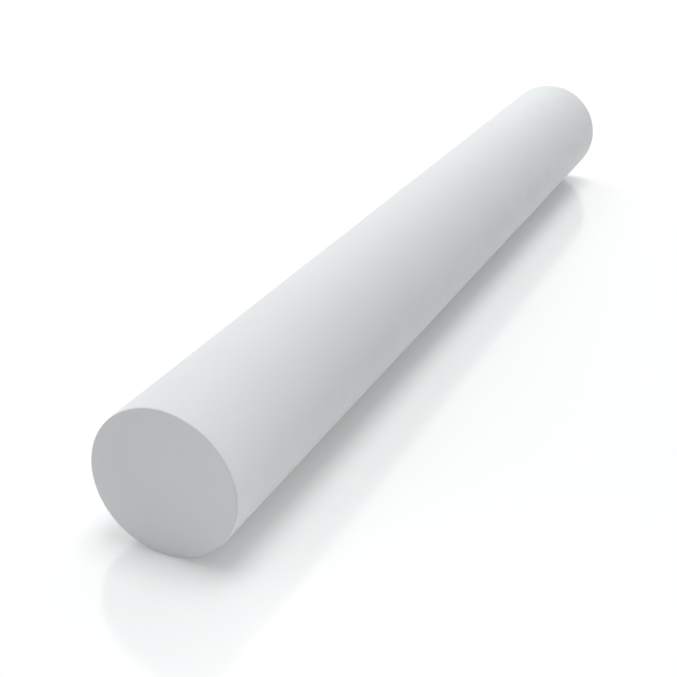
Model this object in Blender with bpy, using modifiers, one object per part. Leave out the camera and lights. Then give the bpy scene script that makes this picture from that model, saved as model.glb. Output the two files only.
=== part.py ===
# Covered foam roller: a firm foam core in a softer foam sleeve, inside a sewn cover.
# Metres. +X runs along the roller, +Z is up, and the floor is z = 0 under its middle.

import math

import bpy

# Driving dimensions
LENGTH = 1.000
DIAMETER = 0.120
EDGE_RADIUS = 0.004
LEAST_FILLET = 0.0002
CORE_DIAMETER = 0.060
COVER_THICKNESS = 0.0015
TAPE_THICKNESS = 0.0008
EDGE_TAPE_LEG = 0.005
SEAM_TAPE_WIDTH = 0.012
SEAM_GAP = 0.0003
CLEARANCE = 0.0003
REST_FLAT_DEPTH = 0.0005
SEAM_ANGLE = math.radians(60.0)
CUTTER_OVERRUN = 0.010

# Mesh fineness
ROUND_STEPS = 72
ARC_STEPS = 4

# Sizes that follow from the dimensions above
RADIUS = DIAMETER / 2
HALF_LENGTH = LENGTH / 2
AXIS_HEIGHT = RADIUS - REST_FLAT_DEPTH
COVER_INSIDE = COVER_THICKNESS + CLEARANCE
TAPE_INSIDE = COVER_INSIDE + TAPE_THICKNESS + CLEARANCE
EDGE_TAPE_END = HALF_LENGTH - EDGE_RADIUS - EDGE_TAPE_LEG
EDGE_CENTRE_RADIUS = RADIUS - EDGE_RADIUS
HALF_SEAM_ANGLE = SEAM_GAP / (2 * EDGE_RADIUS)
FACE_ANGLE = math.pi / 2
SEAM_ON_EDGE = math.pi / 4


def clear_scene():
    for item in list(bpy.data.objects):
        bpy.data.objects.remove(item, do_unlink=True)


def new_collection(name):
    collection = bpy.data.collections.new(name)
    bpy.context.scene.collection.children.link(collection)
    return collection


def new_material(name, colour, roughness):
    material = bpy.data.materials.new(name)
    material.use_nodes = True
    shader = material.node_tree.nodes["Principled BSDF"]
    shader.inputs["Base Color"].default_value = (*colour, 1.0)
    shader.inputs["Roughness"].default_value = roughness
    shader.inputs["Metallic"].default_value = 0.0
    return material


def edge_arc(inset, start, end):
    """Points (radius, z) on the rounded end edge, inset from its outer surface."""
    reach = max(EDGE_RADIUS - inset, LEAST_FILLET)
    centre_radius = RADIUS - inset - reach
    centre_z = HALF_LENGTH - inset - reach
    points = []
    for step in range(ARC_STEPS + 1):
        angle = start + (end - start) * step / ARC_STEPS
        points.append((centre_radius + reach * math.cos(angle), centre_z + reach * math.sin(angle)))
    return points


def mirrored(points):
    """The same profile points at the other end, in the order that continues them."""
    return [(radius, -z) for radius, z in reversed(points)]


def turned(name, profile, closed, parent, collection, material):
    """A solid of revolution about local Z. The profile runs down its outer side."""
    mesh = bpy.data.meshes.new(name)
    count = len(profile)
    edges = [(i, i + 1) for i in range(count - 1)]
    if closed:
        edges.append((count - 1, 0))
    mesh.from_pydata([(radius, 0.0, z) for radius, z in profile], edges, [])
    item = bpy.data.objects.new(name, mesh)
    screw = item.modifiers.new("turn", "SCREW")
    screw.axis = "Z"
    screw.steps = ROUND_STEPS
    screw.render_steps = ROUND_STEPS
    screw.use_merge_vertices = True
    screw.merge_threshold = 0.00001
    screw.use_smooth_shade = True
    item.data.materials.append(material)
    item.parent = parent
    collection.objects.link(item)
    return item


def box_cutter(name, width, start, turn, axis, cutters):
    """A box along the whole roller, from start outwards past the cover, turned about the axis."""
    reach = RADIUS + CUTTER_OVERRUN - start
    middle = start + reach / 2
    bpy.ops.mesh.primitive_cube_add(size=1.0)
    box = bpy.context.object
    box.name = name
    for other in list(box.users_collection):
        other.objects.unlink(box)
    cutters.objects.link(box)
    box.scale = (reach, width, LENGTH + 2 * CUTTER_OVERRUN)
    box.parent = axis
    box.location = (middle * math.cos(turn), middle * math.sin(turn), 0.0)
    box.rotation_euler = (0.0, 0.0, turn)
    box.hide_render = True
    box.display_type = "WIRE"
    return box


def cut(item, cutter, operation):
    boolean = item.modifiers.new(operation.lower(), "BOOLEAN")
    boolean.operation = operation
    boolean.solver = "EXACT"
    boolean.object = cutter


def build_core(axis, parts):
    """Firm foam rod, full length inside the cover."""
    end_z = HALF_LENGTH - COVER_INSIDE
    radius = CORE_DIAMETER / 2
    profile = [(0.0, end_z), (radius, end_z), (radius, -end_z), (0.0, -end_z)]
    foam = new_material("firm_foam", (0.42, 0.46, 0.50), 0.9)
    return turned("firm_core", profile, False, axis, parts, foam)


def build_sleeve(axis, parts, groove):
    """Softer foam tube, stepped in at each end for the edge tape and grooved for the seam tape."""
    bore = CORE_DIAMETER / 2 + CLEARANCE
    end_z = HALF_LENGTH - COVER_INSIDE
    step_radius = EDGE_CENTRE_RADIUS - EDGE_TAPE_LEG - CLEARANCE
    step_z = EDGE_TAPE_END - CLEARANCE
    end = [(bore, end_z), (step_radius, end_z)]
    end.append((step_radius, HALF_LENGTH - TAPE_INSIDE))
    end += edge_arc(TAPE_INSIDE, FACE_ANGLE, 0.0)
    end.append((RADIUS - TAPE_INSIDE, step_z))
    end.append((RADIUS - COVER_INSIDE, step_z))
    foam = new_material("soft_foam", (0.80, 0.81, 0.80), 0.9)
    sleeve = turned("soft_sleeve", end + mirrored(end), True, axis, parts, foam)
    cut(sleeve, groove, "DIFFERENCE")
    return sleeve


def build_seam_tape(axis, parts, strip):
    """Strip behind the cover's lengthwise seam, taken from a thin tube."""
    outer = RADIUS - COVER_INSIDE
    inner = outer - TAPE_THICKNESS
    end_z = EDGE_TAPE_END - CLEARANCE
    profile = [(outer, end_z), (outer, -end_z), (inner, -end_z), (inner, end_z)]
    woven = new_material("seam_tape", (0.74, 0.75, 0.76), 0.85)
    tape = turned("seam_tape", profile, True, axis, parts, woven)
    cut(tape, strip, "INTERSECT")
    return tape


def build_edge_tape(name, flip, axis, parts):
    """Ring behind the seam between the cover and an end panel."""
    inset = COVER_INSIDE + TAPE_THICKNESS
    face_radius = EDGE_CENTRE_RADIUS - EDGE_TAPE_LEG
    outer = [(face_radius, HALF_LENGTH - COVER_INSIDE)]
    outer += edge_arc(COVER_INSIDE, FACE_ANGLE, 0.0)
    outer.append((RADIUS - COVER_INSIDE, EDGE_TAPE_END))
    inner = [(RADIUS - inset, EDGE_TAPE_END)]
    inner += edge_arc(inset, 0.0, FACE_ANGLE)
    inner.append((face_radius, HALF_LENGTH - inset))
    woven = new_material(name, (0.74, 0.75, 0.76), 0.85)
    tape = turned(name, outer + inner, True, axis, parts, woven)
    tape.rotation_euler = (flip, 0.0, 0.0)
    return tape


def build_wrap(axis, parts, slit, floor):
    """Cover sheet rolled into a tube, slit along its seam and settled flat on the floor."""
    seam = SEAM_ON_EDGE - HALF_SEAM_ANGLE
    outer = edge_arc(0.0, seam, 0.0)
    inner = edge_arc(COVER_THICKNESS, seam, 0.0)
    profile = outer + mirrored(outer)
    profile += [(radius, -z) for radius, z in inner] + list(reversed(inner))
    cover = new_material("cover", (0.69, 0.71, 0.71), 0.42)
    wrap = turned("cover_wrap", profile, True, axis, parts, cover)
    cut(wrap, slit, "DIFFERENCE")
    cut(wrap, floor, "DIFFERENCE")
    return wrap


def build_end_panel(name, flip, axis, parts):
    """Round cover panel whose rim rolls over to the seam on the edge."""
    seam = SEAM_ON_EDGE + HALF_SEAM_ANGLE
    profile = [(0.0, HALF_LENGTH)]
    profile += edge_arc(0.0, FACE_ANGLE, seam)
    profile += edge_arc(COVER_THICKNESS, seam, FACE_ANGLE)
    profile.append((0.0, HALF_LENGTH - COVER_THICKNESS))
    cover = new_material(name, (0.68, 0.70, 0.71), 0.42)
    panel = turned(name, profile, False, axis, parts, cover)
    panel.rotation_euler = (flip, 0.0, 0.0)
    return panel


def build_cutters(axis, cutters):
    """The boxes that slit the cover, groove the foam, trim the tape and flatten the underside."""
    core = CORE_DIAMETER / 2
    tape_inner = RADIUS - COVER_INSIDE - TAPE_THICKNESS
    groove_floor = math.sqrt(tape_inner**2 - (SEAM_TAPE_WIDTH / 2) ** 2) - CLEARANCE
    groove_width = SEAM_TAPE_WIDTH + 2 * CLEARANCE
    slit = box_cutter("slit_cutter", SEAM_GAP, core, SEAM_ANGLE, axis, cutters)
    groove = box_cutter("groove_cutter", groove_width, groove_floor, SEAM_ANGLE, axis, cutters)
    strip = box_cutter("strip_cutter", SEAM_TAPE_WIDTH, core, SEAM_ANGLE, axis, cutters)
    floor = box_cutter("floor_cutter", 2 * DIAMETER, AXIS_HEIGHT, 0.0, axis, cutters)
    return slit, groove, strip, floor


def build_roller():
    clear_scene()
    parts = new_collection("foam_roller")
    cutters = new_collection("cutters")
    # The roller's own frame: local Z along the roller, local X straight down.
    axis = bpy.data.objects.new("roller_axis", None)
    axis.location = (0.0, 0.0, AXIS_HEIGHT)
    axis.rotation_euler = (0.0, math.pi / 2, 0.0)
    parts.objects.link(axis)
    slit, groove, strip, floor = build_cutters(axis, cutters)
    build_core(axis, parts)
    build_sleeve(axis, parts, groove)
    build_seam_tape(axis, parts, strip)
    build_wrap(axis, parts, slit, floor)
    for side, flip in (("right", 0.0), ("left", math.pi)):
        build_edge_tape(side + "_edge_tape", flip, axis, parts)
        build_end_panel(side + "_end_panel", flip, axis, parts)


build_roller()
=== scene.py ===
# Looks of the covered foam roller: cover, end panels, seams, foam and tape, on a pale studio floor.
# Metres, in the row frame: +X along the roller, +Z up, floor at z = 0.

import math

import bmesh
import bpy
from mathutils import Matrix, Vector, noise


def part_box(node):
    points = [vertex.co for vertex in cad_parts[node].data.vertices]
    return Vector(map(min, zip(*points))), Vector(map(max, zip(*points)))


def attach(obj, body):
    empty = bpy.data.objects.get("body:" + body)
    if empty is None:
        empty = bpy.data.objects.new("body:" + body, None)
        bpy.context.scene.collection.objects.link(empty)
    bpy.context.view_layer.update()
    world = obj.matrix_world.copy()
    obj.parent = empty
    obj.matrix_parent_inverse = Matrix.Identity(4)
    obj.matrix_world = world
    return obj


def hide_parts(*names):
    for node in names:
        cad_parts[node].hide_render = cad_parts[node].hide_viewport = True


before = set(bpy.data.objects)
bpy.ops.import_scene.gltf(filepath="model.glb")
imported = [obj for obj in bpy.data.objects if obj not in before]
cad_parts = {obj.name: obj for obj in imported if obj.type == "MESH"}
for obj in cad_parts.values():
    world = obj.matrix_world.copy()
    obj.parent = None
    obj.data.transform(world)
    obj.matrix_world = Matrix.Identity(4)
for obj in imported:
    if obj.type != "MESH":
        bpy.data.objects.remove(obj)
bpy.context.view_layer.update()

# Sizes read from the solids
wrap_low, wrap_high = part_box("cover_wrap")
core_low, core_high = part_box("firm_core")
tape_low, tape_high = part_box("seam_tape")
RADIUS = (wrap_high.y - wrap_low.y) / 2
AXIS_HEIGHT = wrap_high.z - RADIUS
HALF_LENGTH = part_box("right_end_panel")[1].x
CORE_RADIUS = (core_high.y - core_low.y) / 2
CORE_END = core_high.x
SEAM_TAPE_WIDTH = (tape_high - tape_low).yz.length

# Cover sheet and the rolled edge that it ends in
COVER_THICKNESS = 0.0015
ROLL_RADIUS = 0.003
ROLL_TURN = math.radians(40.0)
SWELL_HEIGHT = 0.00022
SWELL_LENGTH = 0.11
SWELL_ROUND = 1.3

# End panels, each with a low crown that falls away towards its rim
PANEL_THICKNESS = 0.0010
CROWN_PROUD = 0.0022
CROWN_FALL = 0.0034
CROWN_POWER = 4
END_SWELL_HEIGHT = 0.00012
END_SWELL_LENGTH = 0.03

# Seam between cover and end panel, where both sheets fold in
FOLD_RADIUS = 0.00012
FOLD_HALF_GAP = 0.00003
EDGE_SEAM_RADIUS = RADIUS - ROLL_RADIUS * (1 - math.cos(ROLL_TURN))
EDGE_SEAM_X = HALF_LENGTH + CROWN_PROUD - CROWN_FALL
STRAIGHT_END = EDGE_SEAM_X - ROLL_RADIUS * math.sin(ROLL_TURN)

# Lengthwise seam, measured from straight down towards the back
SEAM_ANGLE = math.radians(60.0)
SEAM_DIP = 0.0012
SEAM_DIP_WIDTH = 0.0008
SEAM_RIDGE = 0.00045
SEAM_RIDGE_AT = 0.0038
SEAM_RIDGE_WIDTH = 0.0028
SEAM_END_LENGTH = 0.014
SEAM_END_SHARE = 0.15
STITCH_PITCH = 0.0048
STITCH_LENGTH = 0.0040
STITCH_RADIUS = 0.00040
STITCH_LIFT = 0.0002
STITCH_SINK = 0.0005
STITCH_END_MARGIN = 0.012

# Foam
EDGE_RADIUS = 0.004
CLEARANCE = 0.0003
TAPE_THICKNESS = 0.0008
EDGE_TAPE_LEG = 0.005
CORE_EASE = 0.0015

# Colours, each a lighter and a darker one that its material varies between
COVER_TONES = ((0.690, 0.707, 0.713), (0.675, 0.693, 0.701))
PANEL_TONES = ((0.685, 0.702, 0.708), (0.670, 0.688, 0.696))
# For the two foams the darker tone is painted shade in the cell hollows
FIRM_FOAM_TONES = ((0.46, 0.50, 0.54), (0.34, 0.38, 0.42))
SOFT_FOAM_TONES = ((0.84, 0.84, 0.82), (0.70, 0.70, 0.68))
THREAD_TONES = ((0.78, 0.79, 0.79), (0.66, 0.67, 0.68))
TAPE_TONES = ((0.80, 0.81, 0.82), (0.66, 0.67, 0.68))
FLOOR_TONES = ((0.780, 0.780, 0.780), (0.770, 0.774, 0.780))
FILL_COLOUR = (0.98, 0.99, 1.0, 1.0)
WHITE = (1.0, 1.0, 1.0, 1.0)

# Roughness, each from the low to the high end of the noise that it follows
COVER_ROUGHNESS = (0.36, 0.46)
FOAM_ROUGHNESS = (0.85, 0.98)
TAPE_ROUGHNESS = (0.92, 0.80)
THREAD_ROUGHNESS = (0.5, 0.7)
FLOOR_ROUGHNESS = (0.12, 0.16)

# Clouds, grain, cells and threads to the metre
COVER_CLOUDS = 9.0
COVER_WEAR = 60.0
GRAIN_PEBBLES = 850.0
PORES_TO_PEBBLE = 3
FIRM_FOAM_CELLS = 900.0
SOFT_FOAM_CELLS = 600.0
FOAM_MOTTLE = 400.0
TAPE_THREADS = 1400.0
TAPE_WARP_RUN = 60.0
TAPE_WEFT_RUN = 90.0
THREAD_TWISTS = 2500.0
THREAD_STRANDS = 700.0
FLOOR_CLOUDS = 3.0

# Depth of the finest relief, and how strongly it shows
GRAIN_DEPTH = 0.0002
GRAIN_STRENGTH = 0.35
FOAM_CELL_DEPTH = 0.0006
FOAM_CELL_STRENGTH = 0.4
TAPE_WEAVE_DEPTH = 0.0003
TAPE_WEAVE_STRENGTH = 0.3
TWIST_DEPTH = 0.0001
TWIST_STRENGTH = 0.3

# The part of a noise's range that holds most of its values, and the same for two multiplied noises
NOISE_LOW = 0.3
NOISE_HIGH = 0.7
WEAVE_LOW = 0.1
WEAVE_HIGH = 0.5

# Mesh fineness
ROUND_STEPS = 240
LENGTH_STEPS = 150
ROLL_STEPS = 12
FACE_STEPS = 24
FOLD_STEPS = 4
FOAM_STEPS = 144
SEAM_STEPS = 16
SEAM_FIRST_STEP = 0.0001
SEAM_STEP_GROWTH = 0.00004
STITCH_SIDES = 6
STITCH_RINGS = 6

# Camera, in the row frame
CAMERA_AT = Vector((-1.1449, -0.4165, 0.5400))
CAMERA_HEADING = 0.4136
CAMERA_PITCH = 0.4466
CAMERA_ROLL = 0.0215
CAMERA_LENS = 67.40
SENSOR_WIDTH = 36.0
CAMERA_NEAREST = 0.01

# Light and floor
FILL_EVEN = 0.41
FILL_SLOPE = Vector((0.32, 0.42, 0.37))
KEY_STRENGTH = 1.33
KEY_SPREAD = math.radians(29.0)
KEY_FROM = Vector((0.13, 0.0, 1.0))
SIDE_LAMP_POWER = 0.095
SIDE_LAMP_SIZE = 0.10
SIDE_LAMP_AWAY = Vector((-0.10, -0.26, 0.16))
TOP_LAMP_POWER = 0.22
TOP_LAMP_SIZE = 0.25
TOP_LAMP_AWAY = Vector((0.10, 0.25, 0.45))
FLOOR_SIZE = 12.0
FLOOR_IOR = 2.4
# Painted light: the floor glows though it is no lamp, lightening the roller's shadow and lighting its
# underside
FLOOR_GLOW = 0.13


def new_object(name, data):
    item = bpy.data.objects.new(name, data)
    bpy.context.scene.collection.objects.link(item)
    return item


def mesh_object(name, build):
    """An object from a finished bmesh, with its faces pointing out and shaded smooth."""
    bmesh.ops.recalc_face_normals(build, faces=build.faces)
    for face in build.faces:
        face.smooth = True
    mesh = bpy.data.meshes.new(name)
    build.to_mesh(mesh)
    build.free()
    return new_object(name, mesh)


def bridge(build, first, second):
    """Faces between two rings of points. A ring may be a single point."""
    count = max(len(first), len(second))
    for i in range(count):
        j = (i + 1) % count
        corners = [first[i % len(first)], first[j % len(first)]]
        corners += [second[j % len(second)], second[i % len(second)]]
        build.faces.new(list(dict.fromkeys(corners)))


def revolve(name, rings, angles, place, closed):
    """A turned mesh through the rings (radius, x). A ring of radius 0 is one point on the axis."""
    build = bmesh.new()
    loops = []
    for radius, x in rings:
        around = angles if radius > 0.0 else [0.0]
        loops.append([build.verts.new(place(radius, x, angle)) for angle in around])
    if closed:
        loops.append(loops[0])
    for first, second in zip(loops, loops[1:]):
        bridge(build, first, second)
    return mesh_object(name, build)


def on_roller(radius, x, angle):
    """A point of the row frame, from its distance and angle about the roller's axis."""
    return Vector((x, radius * math.sin(angle), AXIS_HEIGHT - radius * math.cos(angle)))


def flipped(points):
    """The same profile at the left end, in reverse order."""
    return [(radius, -x) for radius, x in reversed(points)]


def even_angles(steps):
    return [2 * math.pi * i / steps for i in range(steps)]


def smooth_step(value):
    value = min(max(value, 0.0), 1.0)
    return value * value * (3 - 2 * value)


def swell(x, angle):
    """Slow, shallow hills of the foam under the taut cover, fading out at the sewn ends."""
    round_y = SWELL_ROUND * math.sin(angle)
    round_z = SWELL_ROUND * math.cos(angle)
    fade = smooth_step((HALF_LENGTH - abs(x)) / SWELL_LENGTH)
    return SWELL_HEIGHT * fade * noise.noise(Vector((x / SWELL_LENGTH, round_y, round_z)))


def seam_across(angle):
    """Distance along the surface from the lengthwise seam."""
    turn = (angle - SEAM_ANGLE + math.pi) % (2 * math.pi) - math.pi
    return RADIUS * turn


def seam_relief(x, angle):
    """The lengthwise seam: a tight valley between two low ridges, drawn flatter at the sewn ends."""
    across = abs(seam_across(angle))
    away = smooth_step((STRAIGHT_END - abs(x)) / SEAM_END_LENGTH)
    full = SEAM_END_SHARE + (1 - SEAM_END_SHARE) * away
    valley = SEAM_DIP * math.exp(-((across / SEAM_DIP_WIDTH) ** 2))
    ridge = SEAM_RIDGE * math.exp(-(((across - SEAM_RIDGE_AT) / SEAM_RIDGE_WIDTH) ** 2))
    return full * (ridge - valley)


def wrap_angles():
    """Even steps, with finer ones across the lengthwise seam that widen away from it."""
    angles = even_angles(ROUND_STEPS)
    offset = 0.0
    for i in range(SEAM_STEPS):
        offset += SEAM_FIRST_STEP + SEAM_STEP_GROWTH * i
        for side in (-1, 1):
            angles.append((SEAM_ANGLE + side * offset / RADIUS) % (2 * math.pi))
    kept = []
    for angle in sorted(angles):
        if not kept or RADIUS * (angle - kept[-1]) > SEAM_FIRST_STEP / 2:
            kept.append(angle)
    return kept


def crown_x(radius):
    """Where an end panel's outer surface lies along the roller."""
    return HALF_LENGTH + CROWN_PROUD - CROWN_FALL * (radius / EDGE_SEAM_RADIUS) ** CROWN_POWER


def edge_seam_ways():
    """Directions (radius, x) at the edge seam: along the cover, along the panel, and into the seam."""
    slope = CROWN_FALL * CROWN_POWER / EDGE_SEAM_RADIUS
    cover = Vector((-math.sin(ROLL_TURN), math.cos(ROLL_TURN)))
    panel = Vector((1.0, -slope)).normalized()
    into = Vector((-math.cos(ROLL_TURN), -math.sin(ROLL_TURN))) + Vector((-slope, -1.0)).normalized()
    return cover, panel, into.normalized()


def fold(along, into, depth):
    """A sheet's edge at the edge seam, turned from its own direction into the seam."""
    inward = (into - along * along.dot(into)).normalized()
    turn = along.angle(into)
    seam = Vector((EDGE_SEAM_RADIUS, EDGE_SEAM_X)) - along * FOLD_HALF_GAP
    centre = seam - along * FOLD_RADIUS * math.tan(turn / 2) + inward * FOLD_RADIUS
    points = []
    for i in range(FOLD_STEPS + 1):
        angle = turn * i / FOLD_STEPS
        points.append(centre + FOLD_RADIUS * (along * math.sin(angle) - inward * math.cos(angle)))
    points.append(seam + into * depth)
    return [tuple(point) for point in points]


def build_cover():
    """The cover sheet as a tube with real thickness, settled flat where it meets the floor."""
    along, _, into = edge_seam_ways()
    right = []
    for i in range(ROLL_STEPS):
        angle = ROLL_TURN * i / ROLL_STEPS
        sink = ROLL_RADIUS * (1 - math.cos(angle))
        right.append((RADIUS - sink, STRAIGHT_END + ROLL_RADIUS * math.sin(angle)))
    right += fold(along, into, COVER_THICKNESS)
    step = 2 * STRAIGHT_END / LENGTH_STEPS
    middle = [(RADIUS, i * step - STRAIGHT_END) for i in range(1, LENGTH_STEPS)]
    outer = flipped(right) + middle + right
    inside = RADIUS - COVER_THICKNESS
    inner = [(inside, STRAIGHT_END), (inside, -STRAIGHT_END)]
    outer_rings = set(outer)

    def place(radius, x, angle):
        if (radius, x) in outer_rings:
            radius += swell(x, angle) + seam_relief(x, angle)
        point = on_roller(radius, x, angle)
        point.z = max(point.z, 0.0)
        return point

    return revolve("cover_skin", outer + inner, wrap_angles(), place, True)


def build_end_panel(name, side):
    """A round panel with a low crown, whose rim folds in at the edge seam."""
    _, along, into = edge_seam_ways()
    edge = fold(along, into, PANEL_THICKNESS)
    rim = edge[0][0] - FOLD_RADIUS
    radii = [rim * i / FACE_STEPS for i in range(FACE_STEPS + 1)]
    outer = [(radius, crown_x(radius)) for radius in radii]
    inner = [(radius, crown_x(radius) - PANEL_THICKNESS) for radius in reversed(radii)]
    face_rings = set(outer)

    def place(radius, x, angle):
        point = on_roller(radius, side * x, angle)
        if (radius, x) in face_rings:
            calm = 1 - (radius / EDGE_SEAM_RADIUS) ** 2
            point.x += side * END_SWELL_HEIGHT * calm * noise.noise(point / END_SWELL_LENGTH)
        return point

    return revolve(name, outer + edge + inner, even_angles(ROUND_STEPS), place, False)


def add_stitch(build, middle, angle):
    """One stitch: a short arched thread whose ends sink into the cover."""
    surface = RADIUS + swell(middle, angle) + seam_relief(middle, angle)
    rings = []
    for i in range(STITCH_RINGS + 1):
        along = 2 * i / STITCH_RINGS - 1
        x = middle + along * STITCH_LENGTH / 2
        height = surface + STITCH_LIFT - STITCH_SINK * along**4
        thickness = STITCH_RADIUS * math.sqrt(1 - along**2)
        turns = even_angles(STITCH_SIDES) if thickness > 0.0 else [0.0]
        ring = []
        for turn in turns:
            sideways = thickness * math.sin(turn) / RADIUS
            point = on_roller(height + thickness * math.cos(turn), x, angle + sideways)
            ring.append(build.verts.new(point))
        rings.append(ring)
    for first, second in zip(rings, rings[1:]):
        bridge(build, first, second)


def build_stitches():
    """A row of stitches on each side of the lengthwise seam."""
    build = bmesh.new()
    reach = HALF_LENGTH - STITCH_END_MARGIN
    count = int(2 * reach / STITCH_PITCH)
    for side in (-1, 1):
        angle = SEAM_ANGLE + side * SEAM_RIDGE_AT / RADIUS
        for i in range(count + 1):
            add_stitch(build, (i - count / 2) * STITCH_PITCH, angle)
    return mesh_object("seam_stitches", build)


def build_core():
    """The firm rod, with its cut ends eased."""
    left = [(0.0, -CORE_END), (CORE_RADIUS - CORE_EASE, -CORE_END), (CORE_RADIUS, CORE_EASE - CORE_END)]
    return revolve("core_foam", left + flipped(left), even_angles(FOAM_STEPS), on_roller, False)


def build_sleeve():
    """The softer tube, stepped in at its ends for the edge tape and grooved for the seam tape."""
    under_cover = RADIUS - COVER_THICKNESS - CLEARANCE
    under_tape = under_cover - TAPE_THICKNESS - CLEARANCE
    inset = RADIUS - under_tape
    step_x = HALF_LENGTH - EDGE_RADIUS - EDGE_TAPE_LEG - CLEARANCE
    step_radius = RADIUS - EDGE_RADIUS - EDGE_TAPE_LEG - CLEARANCE
    bore = CORE_RADIUS + CLEARANCE
    right = [(under_cover, step_x), (under_tape, step_x)]
    for i in range(FOLD_STEPS + 1):
        angle = math.pi / 2 * i / FOLD_STEPS
        reach = EDGE_RADIUS - inset
        radius = RADIUS - EDGE_RADIUS + reach * math.cos(angle)
        right.append((radius, HALF_LENGTH - EDGE_RADIUS + reach * math.sin(angle)))
    right += [(step_radius, HALF_LENGTH - inset), (step_radius, CORE_END), (bore, CORE_END)]

    def place(radius, x, angle):
        behind_seam = abs(seam_across(angle)) < SEAM_TAPE_WIDTH / 2 + CLEARANCE
        if behind_seam and radius == under_cover:
            radius = under_tape - CLEARANCE
        return on_roller(radius, x, angle)

    return revolve("sleeve_foam", flipped(right) + right, even_angles(FOAM_STEPS), place, True)


class Nodes:
    """A material's node tree with short ways to add and join nodes."""

    def __init__(self, name):
        self.material = bpy.data.materials.new(name)
        self.material.use_nodes = True
        self.tree = self.material.node_tree
        self.shader = self.tree.nodes["Principled BSDF"]
        self.where = self.add("ShaderNodeTexCoord").outputs["Object"]

    def add(self, kind, **inputs):
        node = self.tree.nodes.new(kind)
        for key, value in inputs.items():
            node.inputs[key.replace("_", " ")].default_value = value
        return node

    def join(self, out, into):
        self.tree.links.new(out, into)

    def stretched(self, scale):
        mapping = self.add("ShaderNodeMapping", Scale=scale)
        self.join(self.where, mapping.inputs["Vector"])
        return mapping.outputs["Vector"]

    def noise(self, scale, detail, vector=None):
        node = self.add("ShaderNodeTexNoise", Scale=scale, Detail=detail)
        self.join(vector or self.where, node.inputs["Vector"])
        return node.outputs["Fac"]

    def cells(self, scale):
        node = self.add("ShaderNodeTexVoronoi", Scale=scale)
        self.join(self.where, node.inputs["Vector"])
        return node.outputs["Distance"]

    def to_range(self, value, limits, start=0.0, end=1.0):
        low, high = limits
        node = self.add("ShaderNodeMapRange", From_Min=start, From_Max=end, To_Min=low, To_Max=high)
        self.join(value, node.inputs["Value"])
        return node.outputs["Result"]

    def both(self, first, second, operation):
        node = self.add("ShaderNodeMath")
        node.operation = operation
        self.join(first, node.inputs[0])
        self.join(second, node.inputs[1])
        return node.outputs["Value"]

    def colours(self, factor, first, second):
        ramp = self.add("ShaderNodeValToRGB")
        ramp.color_ramp.elements[0].color = (*first, 1.0)
        ramp.color_ramp.elements[1].color = (*second, 1.0)
        self.join(factor, ramp.inputs["Fac"])
        return ramp.outputs["Color"]

    def bump(self, height, strength, distance):
        node = self.add("ShaderNodeBump", Strength=strength, Distance=distance)
        self.join(height, node.inputs["Height"])
        self.join(node.outputs["Normal"], self.shader.inputs["Normal"])

    def set(self, socket, value):
        self.shader.inputs[socket].default_value = value

    def feed(self, socket, out):
        self.join(out, self.shader.inputs[socket])


def cover_material(name, tones):
    """Satin coated sheet: faint cloudy tone, a fine grain of low pebbles and a little uneven gloss."""
    nodes = Nodes(name)
    clouds = nodes.noise(COVER_CLOUDS, detail=4.0)
    tone = nodes.to_range(clouds, (0.0, 1.0), NOISE_LOW, NOISE_HIGH)
    nodes.feed("Base Color", nodes.colours(tone, *tones))
    wear = nodes.noise(COVER_WEAR, detail=3.0)
    nodes.feed("Roughness", nodes.to_range(wear, COVER_ROUGHNESS, NOISE_LOW, NOISE_HIGH))
    pores = nodes.noise(PORES_TO_PEBBLE * GRAIN_PEBBLES, detail=2.0)
    grain = nodes.both(pores, nodes.cells(GRAIN_PEBBLES), "SUBTRACT")
    nodes.bump(grain, GRAIN_STRENGTH, GRAIN_DEPTH)
    return nodes.material


def foam_material(name, tones, cells_per_metre):
    """Cut foam: packed cells, with painted shade darkening their hollows."""
    light, dark = tones
    nodes = Nodes(name)
    cells = nodes.cells(cells_per_metre)
    # Painted shade: the colour darkens towards each cell's hollow
    nodes.feed("Base Color", nodes.colours(cells, dark, light))
    mottle = nodes.noise(FOAM_MOTTLE, detail=2.0)
    nodes.feed("Roughness", nodes.to_range(mottle, FOAM_ROUGHNESS))
    nodes.bump(cells, FOAM_CELL_STRENGTH, FOAM_CELL_DEPTH)
    return nodes.material


def tape_material(name, tones):
    """Plain woven tape: crossing threads under a faint mottle."""
    light, dark = tones
    nodes = Nodes(name)
    along = nodes.stretched((TAPE_WARP_RUN, TAPE_THREADS, TAPE_THREADS))
    across = nodes.stretched((TAPE_THREADS, TAPE_WEFT_RUN, TAPE_WEFT_RUN))
    warp = nodes.noise(1.0, detail=1.0, vector=along)
    weft = nodes.noise(1.0, detail=1.0, vector=across)
    crossed = nodes.both(warp, weft, "MULTIPLY")
    weave = nodes.to_range(crossed, (0.0, 1.0), WEAVE_LOW, WEAVE_HIGH)
    nodes.feed("Base Color", nodes.colours(weave, dark, light))
    nodes.feed("Roughness", nodes.to_range(weave, TAPE_ROUGHNESS))
    nodes.bump(weave, TAPE_WEAVE_STRENGTH, TAPE_WEAVE_DEPTH)
    return nodes.material


def thread_material(name, tones):
    """Pale sewing thread with its twist."""
    nodes = Nodes(name)
    along = nodes.stretched((THREAD_TWISTS, THREAD_STRANDS, THREAD_STRANDS))
    twist = nodes.noise(1.0, detail=2.0, vector=along)
    nodes.feed("Base Color", nodes.colours(twist, *tones))
    nodes.feed("Roughness", nodes.to_range(twist, THREAD_ROUGHNESS))
    nodes.bump(twist, TWIST_STRENGTH, TWIST_DEPTH)
    return nodes.material


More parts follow.
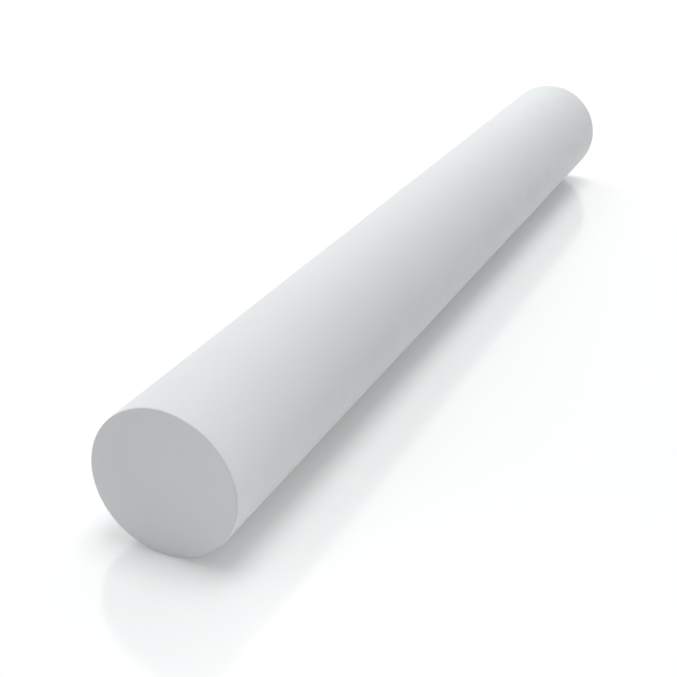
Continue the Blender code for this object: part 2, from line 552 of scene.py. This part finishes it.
def floor_material(name, tones):
    """Pale polished floor, slightly uneven in its gloss, with a faint painted glow: it is no lamp, yet
    it lightens the roller's shadow on the floor and lights the roller's underside.
    """
    nodes = Nodes(name)
    cloud = nodes.noise(FLOOR_CLOUDS, detail=3.0)
    nodes.feed("Base Color", nodes.colours(cloud, *tones))
    nodes.feed("Roughness", nodes.to_range(cloud, FLOOR_ROUGHNESS))
    nodes.set("IOR", FLOOR_IOR)
    # Painted light: a glow that lightens the roller's shadow on the floor and lights the roller's
    # underside
    nodes.set("Emission Color", WHITE)
    nodes.set("Emission Strength", FLOOR_GLOW)
    return nodes.material


def dress(item, material, node=None):
    """Gives a piece its finish, hangs it on the root body, and hides the solid that it stands for."""
    item.data.materials.clear()
    item.data.materials.append(material)
    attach(item, "root")
    if node:
        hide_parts(node)


def build_pieces():
    """Every dressed piece, and the finish of the tapes, whose solids stay."""
    cover = cover_material("cover_sheet", COVER_TONES)
    panel = cover_material("panel_sheet", PANEL_TONES)
    firm = foam_material("firm_foam", FIRM_FOAM_TONES, FIRM_FOAM_CELLS)
    soft = foam_material("soft_foam", SOFT_FOAM_TONES, SOFT_FOAM_CELLS)
    thread = thread_material("thread", THREAD_TONES)
    tape = tape_material("binding_tape", TAPE_TONES)
    skin = build_cover()
    left = build_end_panel("left_end_skin", -1)
    right = build_end_panel("right_end_skin", 1)
    core = build_core()
    sleeve = build_sleeve()
    dress(skin, cover, "cover_wrap")
    dress(left, panel, "left_end_panel")
    dress(right, panel, "right_end_panel")
    dress(core, firm, "firm_core")
    dress(sleeve, soft, "soft_sleeve")
    dress(build_stitches(), thread)
    for node in ("seam_tape", "left_edge_tape", "right_edge_tape"):
        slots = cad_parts[node].data.materials
        slots.clear()
        slots.append(tape)


def build_floor():
    bpy.ops.mesh.primitive_plane_add(size=FLOOR_SIZE)
    floor = bpy.context.object
    floor.name = "studio_floor"
    floor.data.materials.append(floor_material("floor", FLOOR_TONES))


def seen_or_mirrored(tree):
    """1 for the rays of the camera and of reflections, and 0 for the rest."""
    rays = tree.nodes.new("ShaderNodeLightPath")
    seen = tree.nodes.new("ShaderNodeMath")
    seen.operation = "MAXIMUM"
    tree.links.new(rays.outputs["Is Camera Ray"], seen.inputs[0])
    tree.links.new(rays.outputs["Is Glossy Ray"], seen.inputs[1])
    return seen.outputs["Value"]


def fill_level(tree):
    """An even level plus a slope with the direction that the light comes from."""
    way = tree.nodes.new("ShaderNodeTexCoord")
    slope = tree.nodes.new("ShaderNodeVectorMath")
    slope.operation = "DOT_PRODUCT"
    slope.inputs[1].default_value = FILL_SLOPE
    tree.links.new(way.outputs["Generated"], slope.inputs[0])
    level = tree.nodes.new("ShaderNodeMath")
    level.operation = "ADD"
    level.use_clamp = True
    level.inputs[1].default_value = FILL_EVEN
    tree.links.new(slope.outputs["Value"], level.inputs[0])
    return level.outputs["Value"]


def build_world():
    """White to the camera and in reflections, and a soft fill that leans one way for everything else."""
    world = bpy.data.worlds.new("studio")
    bpy.context.scene.world = world
    world.use_nodes = True
    tree = world.node_tree
    tree.nodes.clear()
    fill = tree.nodes.new("ShaderNodeBackground")
    fill.inputs["Color"].default_value = FILL_COLOUR
    tree.links.new(fill_level(tree), fill.inputs["Strength"])
    white = tree.nodes.new("ShaderNodeBackground")
    white.inputs["Color"].default_value = WHITE
    white.inputs["Strength"].default_value = 1.0
    mix = tree.nodes.new("ShaderNodeMixShader")
    out = tree.nodes.new("ShaderNodeOutputWorld")
    tree.links.new(seen_or_mirrored(tree), mix.inputs[0])
    tree.links.new(fill.outputs["Background"], mix.inputs[1])
    tree.links.new(white.outputs["Background"], mix.inputs[2])
    tree.links.new(mix.outputs["Shader"], out.inputs["Surface"])


def aim(item, way):
    """Turns a lamp so that its light travels against the given direction."""
    item.rotation_mode = "QUATERNION"
    item.rotation_quaternion = way.to_track_quat("Z", "Y")


def build_key():
    """Broad soft light from overhead."""
    key = bpy.data.lights.new("key", "SUN")
    key.energy = KEY_STRENGTH
    key.angle = KEY_SPREAD
    aim(new_object("key", key), KEY_FROM)


def build_lamp(name, power, size, end_x, away):
    """A soft round lamp, aimed at the floor under one end of the roller."""
    lamp = bpy.data.lights.new(name, "AREA")
    lamp.shape = "DISK"
    lamp.size = size
    lamp.energy = power
    item = new_object(name, lamp)
    item.location = Vector((end_x, 0.0, 0.0)) + away
    item.visible_camera = False
    item.visible_glossy = False
    aim(item, away)


def build_camera():
    lens = bpy.data.cameras.new("camera")
    lens.sensor_width = SENSOR_WIDTH
    lens.lens = CAMERA_LENS
    lens.clip_start = CAMERA_NEAREST
    level = math.cos(CAMERA_PITCH)
    ahead_x = level * math.cos(CAMERA_HEADING)
    ahead_y = level * math.sin(CAMERA_HEADING)
    ahead = Vector((ahead_x, ahead_y, -math.sin(CAMERA_PITCH)))
    right = Vector((math.sin(CAMERA_HEADING), -math.cos(CAMERA_HEADING), 0.0))
    turn = Matrix((right, right.cross(ahead), -ahead)).transposed()
    turn = turn @ Matrix.Rotation(CAMERA_ROLL, 3, "Z")
    camera = new_object("camera", lens)
    camera.matrix_world = Matrix.Translation(CAMERA_AT) @ turn.to_4x4()
    bpy.context.scene.camera = camera


bpy.context.scene.view_settings.view_transform = "Standard"
build_camera()
build_pieces()
build_floor()
build_world()
build_key()
build_lamp("side_lamp", SIDE_LAMP_POWER, SIDE_LAMP_SIZE, -HALF_LENGTH, SIDE_LAMP_AWAY)
build_lamp("top_lamp", TOP_LAMP_POWER, TOP_LAMP_SIZE, HALF_LENGTH, TOP_LAMP_AWAY)
